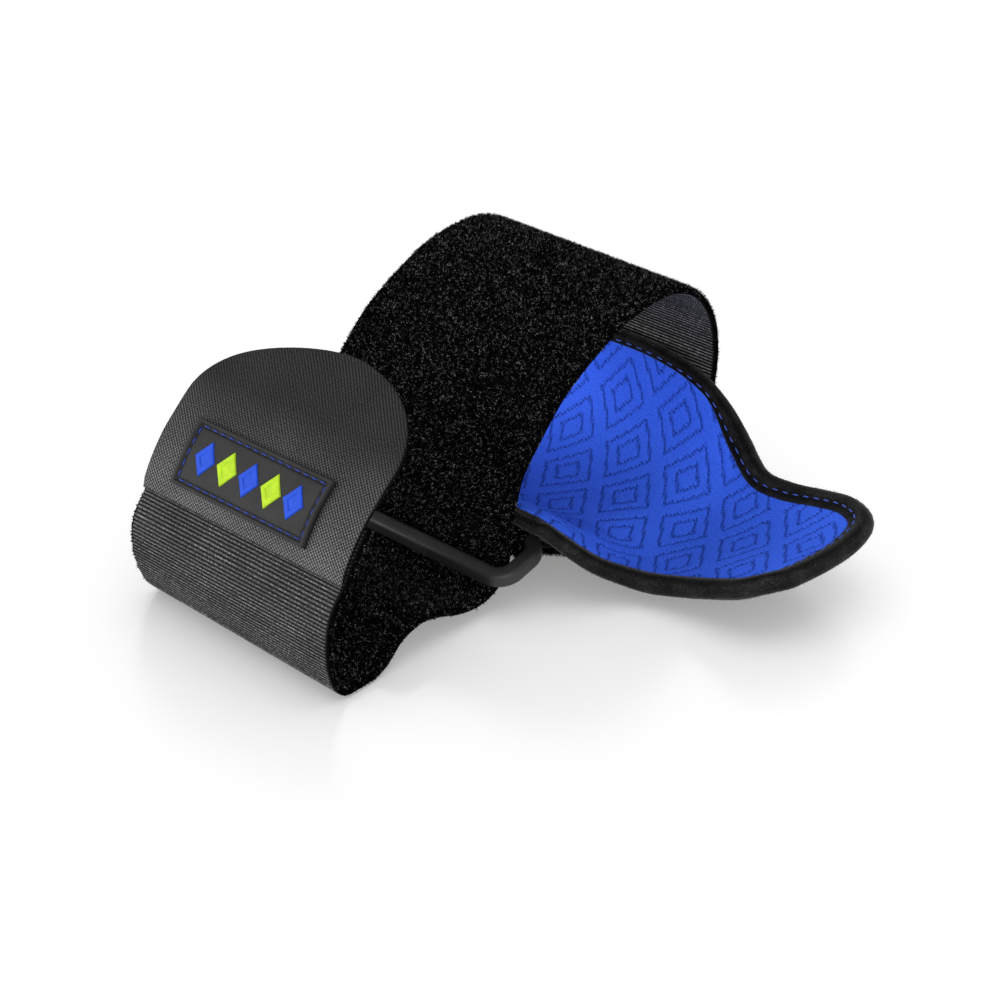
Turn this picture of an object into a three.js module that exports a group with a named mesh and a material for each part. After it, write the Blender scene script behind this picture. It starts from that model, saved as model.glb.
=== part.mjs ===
// A wrist brace lying open on a table. One elastic strap is sewn round the rear bar of a plastic
// ring, runs under and once round the wrist, goes down through the ring, and turns forward into a
// tail that folds up to a fastening tab with a label patch. A bound pad lines the inside of the loop.
// Millimetres, +Z up. X runs along the wrist, Y from the tab at the front to the back of the loop.

import * as THREE from 'three';

// Driving sizes
const GAP = 0.3;
const STRAP = { width: 70, thick: 2.4, stepsPerStation: 4 };
const REAR_TURN = { sewnY: 79.8, sewnZ: 10.6, fromDegrees: 66, stepDegrees: 38, steps: 5 };
const RING = {
  frontY: 55.2, frontZ: 10.6, rearY: 70.5, rearZ: 14.3, bar: 4.8, sideRoom: 1.4, corner: 5,
  cornerSteps: 6, sides: 10,
};
const TAB = {
  thick: 1.4, straight: 28.3, round: 23.9, straightRows: 10, roundRows: 10, roundEnd: 0.95, columns: 10,
};
const LABEL = {
  length: 46.3, height: 17.4, start: 4.8, offset: -1.4, base: 1.0, rimHeight: 1.5, rim: 1.4, slope: 0.5,
  fill: 5,
};
const PAD = { thick: 4.4, columns: 18, stepsPerStation: 3 };
const BINDING = { wide: 6.8, high: 5.6, sides: 8 };
const WING = {
  sagFrom: 34.5, sagTo: 48.4, frontSag: 6.2, frontY: 90, backSag: 2.4, backY: 125, rest: 2.7,
  slopeFrontY: 68.6, slopeFrontZ: 23.1, slopeBackY: 98.5, slopeBackZ: 5.5, slopePower: 1.15,
  slopeFrom: 35, slopeTo: 42,
  riseFrom: 52.6, riseRight: 16.4, riseLeft: 0.4, risePower: 1.55, leftFrom: 35, leftReach: 0.76,
};

// Centre line of the strap in side view, from the ring's rear bar round to the free end
const STRAP_ROUTE = [
  { place: 'under the rear bar', y: 74.6, z: 9.4 },
  { place: 'lower run', y: 80.7, z: 6.9 },
  { place: 'near the table', y: 89.0, z: 3.2 },
  { place: 'meets the table', y: 97.0, z: 1.2 },
  { place: 'on the table', y: 108.0, z: 1.0 },
  { place: 'leaves the table', y: 119.0, z: 1.2 },
  { place: 'back, low', y: 131.5, z: 4.6 },
  { place: 'back, curving up', y: 142.0, z: 12.0 },
  { place: 'back, steep', y: 147.8, z: 22.5 },
  { place: 'back, upright', y: 149.8, z: 34.0 },
  { place: 'back, turning in', y: 149.6, z: 44.1 },
  { place: 'back shoulder', y: 146.4, z: 54.3 },
  { place: 'crown, back', y: 139.1, z: 63.1 },
  { place: 'crown, behind the top', y: 129.0, z: 67.8 },
  { place: 'crown, top', y: 117.5, z: 68.4 },
  { place: 'crown, front', y: 105.4, z: 66.4 },
  { place: 'front slope, high', y: 92.4, z: 60.8 },
  { place: 'front slope, middle', y: 81.7, z: 54.4 },
  { place: 'front slope, low', y: 72.8, z: 45.6 },
  { place: 'front wall, high', y: 65.4, z: 36.2 },
  { place: 'front wall', y: 62.6, z: 26.0 },
  { place: 'through the ring', y: 61.7, z: 16.6 },
  { place: 'turning forward', y: 60.6, z: 11.0 },
  { place: 'under the front bar', y: 57.0, z: 6.7 },
  { place: 'tail, low', y: 50.0, z: 4.6 },
  { place: 'tail', y: 43.0, z: 5.6 },
  { place: 'tail, hump', y: 35.2, z: 8.4 },
  { place: 'tail, top of the hump', y: 28.0, z: 9.8 },
  { place: 'tail, falling', y: 20.6, z: 8.0 },
  { place: 'tail, foot of the hump', y: 14.4, z: 2.9 },
  { place: 'fold, on the table', y: 7.6, z: 0.6 },
  { place: 'fold, front of the table', y: 2.2, z: 0.9 },
  { place: 'fold, turning up', y: -1.9, z: 4.4 },
  { place: 'front face, low', y: -4.2, z: 10.4 },
  { place: 'front face', y: -5.0, z: 17.9 },
  { place: 'front face, high', y: -3.7, z: 25.2 },
  { place: 'under the tab edge', y: 1.1, z: 31.9 },
  { place: 'under the tab', y: 4.5, z: 38.2 },
  { place: 'free end', y: 8.8, z: 44.2 },
];

// Centre line of the tab in side view, from its sewn edge to its round end
const TAB_ROUTE = [
  { place: 'sewn edge', y: -1.1, z: 32.8 },
  { place: 'lower tab', y: 2.4, z: 39.6 },
  { place: 'beside the label', y: 6.7, z: 45.7 },
  { place: 'above the label', y: 11.7, z: 50.7 },
  { place: 'start of the round', y: 16.4, z: 54.9 },
  { place: 'round end', y: 26.3, z: 61.4 },
  { place: 'tip', y: 37.6, z: 67.3 },
];

// Middle of the pad's thickness in side view, from its front edge over the ring to its back edge
const LINER_ROUTE = [
  { place: 'front edge', y: 66.6, z: 23.2 },
  { place: 'over the ring', y: 70.1, z: 23.0 },
  { place: 'behind the ring', y: 73.7, z: 21.9 },
  { place: 'over the sewn end', y: 77.1, z: 19.4 },
  { place: 'lower run, high', y: 80.3, z: 16.0 },
  { place: 'lower run, middle', y: 83.2, z: 12.9 },
  { place: 'lower run', y: 86.8, z: 10.0 },
  { place: 'lower run, low', y: 91.8, z: 7.4 },
  { place: 'floor of the loop, front', y: 98.5, z: 5.5 },
  { place: 'floor of the loop', y: 108.0, z: 5.2 },
  { place: 'floor of the loop, back', y: 118.0, z: 5.5 },
  { place: 'back, low', y: 129.0, z: 8.3 },
  { place: 'back, curving up', y: 138.4, z: 14.8 },
  { place: 'back, steep', y: 143.6, z: 24.0 },
  { place: 'back, upright', y: 145.6, z: 34.0 },
  { place: 'past the back edge', y: 145.4, z: 42.0 },
];

// Half of the pad's outline laid flat, from its middle out to its tip.
// x is along the wrist, u along the liner from the front edge.
const PAD_OUTLINE = [
  { frontX: 0, frontU: 0.9, backX: 0, backU: 103.6 },
  { frontX: 18, frontU: 0.9, backX: 16, backU: 103.6 },
  { frontX: 32, frontU: 1, backX: 30, backU: 101 },
  { frontX: 39, frontU: 1.8, backX: 41, backU: 96 },
  { frontX: 49.4, frontU: 9.8, backX: 50, backU: 89.8 },
  { frontX: 57.5, frontU: 22.4, backX: 60, backU: 82.2 },
  { frontX: 68, frontU: 28, backX: 71, backU: 79.3 },
  { frontX: 80.5, frontU: 30.2, backX: 83, backU: 77.3 },
  { frontX: 90.2, frontU: 31, backX: 92.6, backU: 74.2 },
  { frontX: 97.6, frontU: 37.2, backX: 99.9, backU: 67.6 },
  { frontX: 101.2, frontU: 52, backX: 101.2, backU: 52 },
];

const FINISH = {
  strap: { color: 0x121214, roughness: 0.95 },
  ring: { color: 0x202123, roughness: 0.5 },
  hook_tab: { color: 0x3a3a3c, roughness: 0.8 },
  label_patch: { color: 0x2a2a2c, roughness: 0.6 },
  pad: { color: 0x2f55c8, roughness: 0.9 },
  pad_binding: { color: 0x161617, roughness: 0.9 },
};

// A smooth curve in side view through the rows of a route
function sideCurve(rows) {
  const points = rows.map((row) => new THREE.Vector3(0, row.y, row.z));
  return new THREE.CatmullRomCurve3(points, false, 'centripetal');
}

// Indexed triangles to a geometry whose faces point out of the solid
function solidFrom(points, faces) {
  const position = points.flatMap((point) => [point.x, point.y, point.z]);
  let volume = 0;
  for (const [a, b, c] of faces) {
    volume += points[a].dot(points[b].clone().cross(points[c]));
  }
  const outward = volume > 0 ? faces : faces.map(([a, b, c]) => [a, c, b]);
  const geometry = new THREE.BufferGeometry();
  geometry.setAttribute('position', new THREE.Float32BufferAttribute(position, 3));
  geometry.setIndex(outward.flat());
  geometry.computeVertexNormals();
  return geometry;
}

// A closed sheet: a grid of upper points, a grid of lower points, and a rim joining their borders
function sheetSolid(upper, lower) {
  const rows = upper.length;
  const columns = upper[0].length;
  const points = [...upper.flat(), ...lower.flat()];
  const at = (side, i, j) => side * rows * columns + i * columns + j;
  const faces = [];
  const quad = (a, b, c, d) => faces.push([a, b, c], [a, c, d]);
  const last = columns - 1;
  for (let i = 0; i + 1 < rows; i += 1) {
    for (let j = 0; j + 1 < columns; j += 1) {
      quad(at(0, i, j), at(0, i, j + 1), at(0, i + 1, j + 1), at(0, i + 1, j));
      quad(at(1, i, j), at(1, i + 1, j), at(1, i + 1, j + 1), at(1, i, j + 1));
    }
    quad(at(0, i, 0), at(0, i + 1, 0), at(1, i + 1, 0), at(1, i, 0));
    quad(at(0, i, last), at(1, i, last), at(1, i + 1, last), at(0, i + 1, last));
  }
  for (let j = 0; j + 1 < columns; j += 1) {
    quad(at(0, 0, j), at(1, 0, j), at(1, 0, j + 1), at(0, 0, j + 1));
    quad(at(0, rows - 1, j), at(0, rows - 1, j + 1), at(1, rows - 1, j + 1), at(1, rows - 1, j));
  }
  return solidFrom(points, faces);
}

// A closed oval bar along a loop of stations, each with a centre and two directions across it
function loopSolid(stations, wide, high, sides) {
  const points = [];
  const faces = [];
  stations.forEach(({ centre, across, up }) => {
    for (let k = 0; k < sides; k += 1) {
      const turn = (2 * Math.PI * (k + 0.5)) / sides;
      const point = centre.clone().addScaledVector(across, (wide / 2) * Math.cos(turn));
      points.push(point.addScaledVector(up, (high / 2) * Math.sin(turn)));
    }
  });
  const total = stations.length;
  for (let i = 0; i < total; i += 1) {
    const next = (i + 1) % total;
    for (let k = 0; k < sides; k += 1) {
      const beside = (k + 1) % sides;
      faces.push([i * sides + k, next * sides + k, next * sides + beside]);
      faces.push([i * sides + k, next * sides + beside, i * sides + beside]);
    }
  }
  return solidFrom(points, faces);
}

// The direction across a side-view curve, pointing to the left of its travel
function leftOf(before, after) {
  return new THREE.Vector3(0, before.z - after.z, after.y - before.y).normalize();
}

// Two offset lines of a side-view line, one on each side of it
function bothSides(line, thick) {
  return line.map((point, i) => {
    const before = line[Math.max(i - 1, 0)];
    const after = line[Math.min(i + 1, line.length - 1)];
    const left = leftOf(before, after);
    return {
      left: point.clone().addScaledVector(left, thick / 2),
      right: point.clone().addScaledVector(left, -thick / 2),
    };
  });
}

function atX(point, x) {
  return new THREE.Vector3(x, point.y, point.z);
}

// The strap's turn round the ring's rear bar, from its sewn end over the bar and down its front
function rearBarTurn() {
  const radius = RING.bar / 2 + 2 * GAP + STRAP.thick / 2;
  const turn = [{ y: REAR_TURN.sewnY, z: REAR_TURN.sewnZ }];
  for (let k = 0; k <= REAR_TURN.steps; k += 1) {
    const angle = THREE.MathUtils.degToRad(REAR_TURN.fromDegrees + k * REAR_TURN.stepDegrees);
    turn.push({ y: RING.rearY + radius * Math.cos(angle), z: RING.rearZ + radius * Math.sin(angle) });
  }
  return turn;
}

// The strap is flattened where it would dip below the table
function strapGeometry() {
  const stations = [...rearBarTurn(), ...STRAP_ROUTE];
  const line = sideCurve(stations).getPoints((stations.length - 1) * STRAP.stepsPerStation);
  line.forEach((point) => point.setZ(Math.max(point.z, STRAP.thick / 2)));
  const sides = bothSides(line, STRAP.thick);
  const row = (side) => sides.map((both) => [-1, 1].map((end) => atX(both[side], (end * STRAP.width) / 2)));
  return sheetSolid(row('left'), row('right'));
}

function ringGeometry() {
  const halfWidth = STRAP.width / 2 + RING.sideRoom + RING.bar / 2;
  const depth = new THREE.Vector3(0, RING.rearY - RING.frontY, RING.rearZ - RING.frontZ);
  const halfDepth = depth.length() / 2;
  const back = depth.clone().normalize();
  const up = new THREE.Vector3(1, 0, 0).cross(back);
  const middle = new THREE.Vector3(0, (RING.rearY + RING.frontY) / 2, (RING.rearZ + RING.frontZ) / 2);
  const stations = [];
  [[1, 1], [-1, 1], [-1, -1], [1, -1]].forEach(([sideX, sideV], quarter) => {
    const cornerX = sideX * (halfWidth - RING.corner);
    const cornerV = sideV * (halfDepth - RING.corner);
    for (let k = 0; k <= RING.cornerSteps; k += 1) {
      const angle = (Math.PI / 2) * (quarter + k / RING.cornerSteps);
      const outX = Math.cos(angle);
      const outV = Math.sin(angle);
      const centre = middle.clone().addScaledVector(back, cornerV + RING.corner * outV);
      centre.x = cornerX + RING.corner * outX;
      const across = back.clone().multiplyScalar(outV);
      across.x = outX;
      stations.push({ centre, across, up });
    }
  });
  return loopSolid(stations, RING.bar, RING.bar, RING.sides);
}

const tabCurve = sideCurve(TAB_ROUTE);
const tabLength = tabCurve.getLength();

// Half of the tab's width at a distance along it from its sewn edge
function tabHalfWidth(along) {
  const past = Math.max(along - TAB.straight, 0) / TAB.round;
  return (STRAP.width / 2) * Math.sqrt(Math.max(1 - past * past, 0));
}

// A point on the tab: across the strap, along from the sewn edge, and out from its middle
function tabPoint(across, along, out) {
  const reach = 0.5;
  const before = tabCurve.getPointAt(Math.max(along - reach, 0) / tabLength);
  const after = tabCurve.getPointAt(Math.min(along + reach, tabLength) / tabLength);
  const point = tabCurve.getPointAt(along / tabLength).addScaledVector(leftOf(before, after), out);
  return atX(point, across);
}

function tabGeometry() {
  const stations = [];
  for (let i = 0; i < TAB.straightRows; i += 1) {
    stations.push((TAB.straight * i) / TAB.straightRows);
  }
  for (let i = 0; i <= TAB.roundRows; i += 1) {
    const turn = (Math.PI / 2) * TAB.roundEnd * (i / TAB.roundRows);
    stations.push(TAB.straight + TAB.round * Math.sin(turn));
  }
  const face = (out) => stations.map((along) => {
    const row = [];
    for (let j = 0; j <= TAB.columns; j += 1) {
      row.push(tabPoint(tabHalfWidth(along) * ((2 * j) / TAB.columns - 1), along, out));
    }
    return row;
  });
  return sheetSolid(face(TAB.thick / 2), face(-TAB.thick / 2));
}

// A patch with a raised rim round a sunk middle, lying on the tab
function labelGeometry() {
  const inside = LABEL.rim + LABEL.slope;
  const lines = (size) => {
    const step = (size - 2 * inside) / (LABEL.fill - 1);
    const inner = Array.from({ length: LABEL.fill }, (_, k) => inside + k * step);
    return [0, LABEL.rim, ...inner, size - LABEL.rim, size];
  };
  const columns = lines(LABEL.length);
  const rows = lines(LABEL.height);
  const onRim = (k, list) => k <= 1 || k >= list.length - 2;
  const seat = TAB.thick / 2 + GAP;
  const face = (heightAt) => rows.map((along, i) => columns.map((across, j) => tabPoint(
    LABEL.offset - LABEL.length / 2 + across, LABEL.start + along, seat + heightAt(i, j))));
  const top = face((i, j) => (onRim(i, rows) || onRim(j, columns) ? LABEL.rimHeight : LABEL.base));
  return sheetSolid(top, face(() => 0));
}

// How far the pad's wings stand above a point of the liner. Beside the strap they sink, most at the
// front and no lower than the table lets them, and they lift towards their tips, the left one hardly.
function wingRise(x, point) {
  const tip = PAD_OUTLINE[PAD_OUTLINE.length - 1].frontX;
  const reach = x > 0 ? x : WING.leftFrom + Math.max(-x - WING.leftFrom, 0) / WING.leftReach;
  const towardsBack = THREE.MathUtils.smoothstep(point.y, WING.frontY, WING.backY);
  const free = THREE.MathUtils.lerp(WING.frontSag, WING.backSag, towardsBack);
  const room = point.z - WING.rest;
  const sag = (free * room) / Math.cbrt(free ** 3 + room ** 3);
  const past = Math.max(reach - WING.riseFrom, 0) / (tip - WING.riseFrom);
  const lift = (x > 0 ? WING.riseRight : WING.riseLeft) * past ** WING.risePower;
  const down = (WING.slopeBackY - point.y) / (WING.slopeBackY - WING.slopeFrontY);
  const slope = THREE.MathUtils.lerp(WING.slopeBackZ, WING.slopeFrontZ, Math.max(down, 0) ** WING.slopePower);
  const straighten = down > 0 && down < 1 ? slope - point.z : 0;
  const beside = THREE.MathUtils.smoothstep(reach, WING.slopeFrom, WING.slopeTo);
  return lift + straighten * beside - sag * THREE.MathUtils.smoothstep(reach, WING.sagFrom, WING.sagTo);
}

// The left wing is a little shorter than the right one
function leftX(x) {
  return -(x > WING.leftFrom ? WING.leftFrom + (x - WING.leftFrom) * WING.leftReach : x);
}

// The pad's outline laid flat, as one closed loop from the left tip along the front and back again
function flatOutline() {
  const tip = PAD_OUTLINE.length - 1;
  const right = (row, side) => new THREE.Vector3(row[`${side}X`], row[`${side}U`], 0);
  const left = (row, side) => new THREE.Vector3(leftX(row[`${side}X`]), row[`${side}U`], 0);
  const inward = [...PAD_OUTLINE].reverse();
  const stations = [
    ...inward.map((row) => left(row, 'front')),
    ...PAD_OUTLINE.slice(1).map((row) => right(row, 'front')),
    ...inward.slice(1).map((row) => right(row, 'back')),
    ...PAD_OUTLINE.slice(1, tip).map((row) => left(row, 'back')),
  ];
  const loop = new THREE.CatmullRomCurve3(stations, true, 'centripetal');
  return loop.getPoints(stations.length * PAD.stepsPerStation).slice(0, -1);
}

// The outline moved in from the edge, still laid flat
function insetOutline(outline, inset) {
  const total = outline.length;
  return outline.map((point, i) => {
    const along = outline[(i + 1) % total].clone().sub(outline[(i + total - 1) % total]).normalize();
    return new THREE.Vector3(point.x - inset * along.y, point.y + inset * along.x, 0);
  });
}

const linerCurve = sideCurve(LINER_ROUTE);
const linerLength = linerCurve.getLength();

// A flat point of the pad put on the liner and lifted with the wing
function onLiner(flat) {
  const point = linerCurve.getPointAt(THREE.MathUtils.clamp(flat.y / linerLength, 0, 1));
  return new THREE.Vector3(flat.x, point.y, point.z + wingRise(flat.x, point));
}

// The direction out of the pad towards the wrist
function linerUp(flat) {
  const reach = 0.5;
  const shift = (dx, du) => onLiner(new THREE.Vector3(flat.x + dx, Math.max(flat.y + du, 0), 0));
  const alongX = shift(reach, 0).sub(shift(-reach, 0));
  const alongU = shift(0, reach).sub(shift(0, -reach));
  return alongX.cross(alongU).normalize();
}

function padGeometry(outline) {
  const inner = insetOutline(outline, BINDING.wide / 2 + 2 * GAP);
  const half = inner.length / 2;
  const face = (out) => {
    const rows = [];
    for (let i = 1; i < half; i += 1) {
      const front = inner[i];
      const back = inner[inner.length - i];
      const row = [];
      for (let j = 0; j <= PAD.columns; j += 1) {
        const flat = front.clone().lerp(back, j / PAD.columns);
        row.push(onLiner(flat).addScaledVector(linerUp(flat), out));
      }
      rows.push(row);
    }
    return rows;
  };
  return sheetSolid(face(PAD.thick / 2), face(-PAD.thick / 2));
}

function bindingGeometry(outline) {
  const total = outline.length;
  const stations = outline.map((flat, i) => {
    const before = onLiner(outline[(i + total - 1) % total]);
    const after = onLiner(outline[(i + 1) % total]);
    const up = linerUp(flat);
    const across = after.sub(before).normalize().cross(up).normalize();
    return { centre: onLiner(flat), across, up };
  });
  return loopSolid(stations, BINDING.wide, BINDING.high, BINDING.sides);
}

function piece(name, geometry) {
  const mesh = new THREE.Mesh(geometry, new THREE.MeshStandardMaterial({ ...FINISH[name], metalness: 0 }));
  mesh.name = name;
  return mesh;
}

const outline = flatOutline();
const brace = new THREE.Group();
brace.add(piece('strap', strapGeometry()));
brace.add(piece('ring', ringGeometry()));
brace.add(piece('hook_tab', tabGeometry()));
brace.add(piece('label_patch', labelGeometry()));
brace.add(piece('pad', padGeometry(outline)));
brace.add(piece('pad_binding', bindingGeometry(outline)));

// The origin is the middle of the footprint, on the table
const box = new THREE.Box3().setFromObject(brace, true);
const middle = box.getCenter(new THREE.Vector3());
brace.position.set(-middle.x, -middle.y, -box.min.z);

export default brace;
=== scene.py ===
"""A wrist brace lying open: a brushed elastic strap with its ring and fastening tab, and a bound knit pad.

Lengths are millimetres in the frame of the routes below, with X along the wrist, Y from the tab to the
back of the loop and Z up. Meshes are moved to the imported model's frame, in metres, as they are made.
"""
import math
from types import SimpleNamespace as Values

import bpy
import numpy as np
from mathutils import Matrix, Vector


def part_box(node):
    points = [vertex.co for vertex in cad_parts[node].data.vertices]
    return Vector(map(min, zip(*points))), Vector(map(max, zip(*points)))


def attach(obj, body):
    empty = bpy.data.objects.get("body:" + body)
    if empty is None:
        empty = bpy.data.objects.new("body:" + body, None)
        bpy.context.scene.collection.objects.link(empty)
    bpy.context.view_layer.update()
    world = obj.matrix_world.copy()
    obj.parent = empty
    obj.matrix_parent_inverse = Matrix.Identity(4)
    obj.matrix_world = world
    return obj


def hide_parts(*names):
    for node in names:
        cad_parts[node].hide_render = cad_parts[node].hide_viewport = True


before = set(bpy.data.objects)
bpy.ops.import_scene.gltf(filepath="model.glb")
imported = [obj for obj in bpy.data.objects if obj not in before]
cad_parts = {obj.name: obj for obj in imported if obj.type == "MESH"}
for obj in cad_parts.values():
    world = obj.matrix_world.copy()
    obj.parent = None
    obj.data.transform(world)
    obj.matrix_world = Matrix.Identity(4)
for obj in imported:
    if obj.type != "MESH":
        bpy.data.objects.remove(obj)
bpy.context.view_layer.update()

MM = 0.001
TURN = 2 * math.pi
GAP = 0.3
ABOVE_FLOOR = 0.02
BAND_ABOVE_FLOOR = 0.05
STRAP = Values(width=70.0, thick=2.4, rib_pitch=0.98, rib_depth=0.3, yarn=0.8, pile_base=-0.75, core=0.3)
STRAP.half = STRAP.width / 2
REAR_TURN = Values(sewn=(79.8, 10.6), start=66, step=38, steps=5)
RING = Values(
    front=(55.2, 10.6), rear=(70.5, 14.3), bar=4.8, side_room=1.4, corner=5.0, square=4.5, share=0.92,
    sides=32, corner_steps=12,
)
TAB = Values(
    thick=1.4, straight=28.3, round=23.9, weave_x=1.075, weave_s=1.0, fine=4, coarse=4, relief=0.09,
    twill=0.7, taper=20, edge_share=0.55, edge_reach=0.6, seal_reach=0.35, back_crown=0.3, sewn_drop=0.6,
    sewn_reach=3.0, far_reach=2.4, far_x=(-26, 8), end_from=0.3, end_rows=(0.25, 0.12, 0.04, 0.005),
)
HOOK = Values(start=16.0, step_x=1.6, step_s=1.3, margin=2.0, shift=0.1, root=0.05, sides=5)
LABEL = Values(length=46.3, height=17.4, start=4.8, offset=-1.4, step=0.7)
LABEL_STITCH = Values(inset=1.55, pitch=2.9, length=2.1, level=0.66, radius=0.17, rise=0.34)
LOZENGE = Values(count=5, pitch=7.7, half_x=3.45, half_s=4.5)
PAD = Values(
    thick=4.4, steps=16, columns=160, coarse_rows=4, coarse_columns=5, groove=0.3, groove_from=2,
    edge_share=0.72, full_from=7, full_power=0.6, proud=0.1,
)
KNIT = Values(
    half_x=10.3, half_u=16.2, middle_u=72.6, outer=0.365, inner=0.172, groove=0.42, line=0.43, stitch_x=0.8,
    stitch_u=0.95, slant=0.5,
)
KNIT_SPAN = 2 / math.hypot(1 / KNIT.half_x, 1 / KNIT.half_u)
BINDING = Values(
    wide=6.8, high=5.6, square=2.35, sides=24, steps=12, tuck=0.8, crease=0.35, crease_reach=0.6, swell=0.03,
    swell_run=9, back_share=0.66, back_x=(36, 50), back_u=(70, 86), front_share=0.68, front_x=(34, 66),
    front_u=(26, 34),
)
BINDING_STITCH = Values(
    pitch=3.7, length=2.1, radius=0.2, rise=0.34, sunk=0.26, side=-0.5, under_side=-1.6, front_side=-2.7,
    front_x=(82, 92), front_u=(34, 44),
)
NAP = Values(
    count=16000, slide=0.6, lean=0.9, length=0.34, vary=0.12, lengths=(0.12, 0.7), radius=0.07, shade=0.8,
)
WING = Values(
    sag_from=34.5, sag_to=54.5, front_sag=6.2, front_y=90, back_sag=2.4, back_y=125, rest=2.7,
    rise_from=52.6, rise_right=16.4, rise_left=0.4, power=1.55, left_from=35, left_reach=0.76,
)
WING_SLOPE = Values(
    front=(68.6, 23.1), back=(98.5, 5.5), power=1.15, inside=(20, 34), inside_share=0.6, beside=(33, 41),
)
WING_DIP = Values(depth=1.3, from_x=(52, 64), to_x=(86, 98), from_y=(90, 106))
SEED = Values(ribs=11, pile_front=21, pile_tail=22, pile_back=23, hooks=31, swell=41, nap=42)

# Centre line of the strap in side view, y and z, from under the ring's rear bar round to the free end
STRAP_ROUTE = [
    (74.6, 9.4), (80.7, 6.9), (89.0, 3.2), (97.0, 1.2), (108.0, 1.0), (119.0, 1.2), (131.5, 4.6),
    (142.0, 12.0), (147.8, 22.5), (149.8, 34.0), (149.6, 44.1), (146.4, 54.3), (139.1, 63.1),
    (129.0, 67.8), (117.5, 68.4), (105.4, 66.4), (92.4, 60.8), (81.7, 54.4), (72.8, 45.6),
    (65.4, 36.2), (62.6, 26.0), (61.7, 16.6), (60.6, 11.0), (57.0, 6.7), (50.0, 4.6), (43.0, 5.6),
    (35.2, 8.4), (28.0, 9.8), (20.6, 8.0), (14.4, 2.9), (7.6, 0.6), (2.2, 0.9), (-1.9, 4.4),
    (-4.2, 10.4), (-5.0, 17.9), (-3.7, 25.2), (1.1, 31.9), (4.5, 38.2), (8.8, 44.2),
]
BACK_SHOULDER = (146.4, 54.3)
THROUGH_RING = (61.7, 16.6)

# Centre line of the tab in side view, y and z, from its sewn edge to its round end
TAB_ROUTE = [(-1.1, 32.8), (2.4, 39.6), (6.7, 45.7), (11.7, 50.7), (16.4, 54.9), (26.3, 61.4), (37.6, 67.3)]

# Middle of the pad's thickness in side view, y and z, from its front edge over the ring to its back edge
LINER_ROUTE = [
    (66.6, 23.2), (70.1, 23.0), (73.7, 21.9), (77.1, 19.4), (80.3, 16.0), (83.2, 12.9), (86.8, 10.0),
    (91.8, 7.4), (98.5, 5.5), (108.0, 5.2), (118.0, 5.5), (129.0, 8.3), (138.4, 14.8), (143.6, 24.0),
    (145.6, 34.0), (145.4, 42.0),
]

# Half of the pad's outline laid flat, from its middle to its tip: front x, front u, back x, back u
PAD_OUTLINE = [
    (0, 0.9, 0, 103.6), (18, 0.9, 16, 103.6), (32, 1, 30, 101), (39, 1.8, 41, 96), (49.4, 9.8, 50, 89.8),
    (57.5, 22.4, 60, 82.2), (68, 28, 71, 79.3), (80.5, 30.2, 83, 77.3), (90.2, 31, 92.6, 74.2),
    (96.4, 37.6, 99.7, 67.6), (100.7, 52.6, 100.7, 52.6),
]

FLOOR_GLOSS = Values(glow=0.27, reach=(0.05, 0.14), roughness=(0.1, 0.42))
SKY = Values(horizon=0.8, overhead=0.55)
CAMERA = Values(
    place=(363.93, -344.54, 332.43), heading=39.305, pitch=29.99, roll=-2.431, lens=84.62, sensor=36,
)

# Soft boxes: name, place and size in metres, power in watts, and whether the floor is left out or lit alone
LIGHTS = [
    ("key", (-0.75, -1.0, 0.5), 0.9, 13, "EXCLUDE"),
    ("fill", (1.0, -0.8, 0.5), 0.8, 9, "EXCLUDE"),
    ("floor_light", (0.0, 0.0, 1.5), 1.5, 7, "INCLUDE"),
]
LIT_MIDDLE = (0, 0, 0.03)


# Curves

def smooth_line(points, steps, closed=False):
    """Points on a smooth curve through the given points, with no overshoot where they crowd."""
    points = np.array(points, float)
    if closed:
        padded = np.vstack([points[-1], points, points[:2]])
    else:
        padded = np.vstack([2 * points[0] - points[1], points, 2 * points[-1] - points[-2]])
    t = np.linspace(0, 1, steps, endpoint=False)[:, None]
    line = []
    for p0, p1, p2, p3 in zip(padded, padded[1:], padded[2:], padded[3:]):
        d0, d1, d2 = (np.linalg.norm(b - a) ** 0.5 for a, b in ((p0, p1), (p1, p2), (p2, p3)))
        m1 = ((p1 - p0) / d0 - (p2 - p0) / (d0 + d1) + (p2 - p1) / d1) * d1
        m2 = ((p2 - p1) / d1 - (p3 - p1) / (d1 + d2) + (p3 - p2) / d2) * d1
        line.append(
            p1 * (2 * t**3 - 3 * t**2 + 1) + m1 * (t**3 - 2 * t**2 + t)
            + p2 * (3 * t**2 - 2 * t**3) + m2 * (t**3 - t**2)
        )
    if not closed:
        line.append(points[-1:])
    return np.vstack(line)


def unit(vectors):
    return vectors / np.linalg.norm(vectors, axis=-1, keepdims=True)


def squared(turn, power):
    """How far out a flat-sided round reaches at a turn, where a circle reaches 1."""
    return (np.abs(np.cos(turn)) ** power + np.abs(np.sin(turn)) ** power) ** (-1 / power)


def smooth_step(value, low, high):
    t = np.clip((value - low) / (high - low), 0, 1)
    return t * t * (3 - 2 * t)


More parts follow.
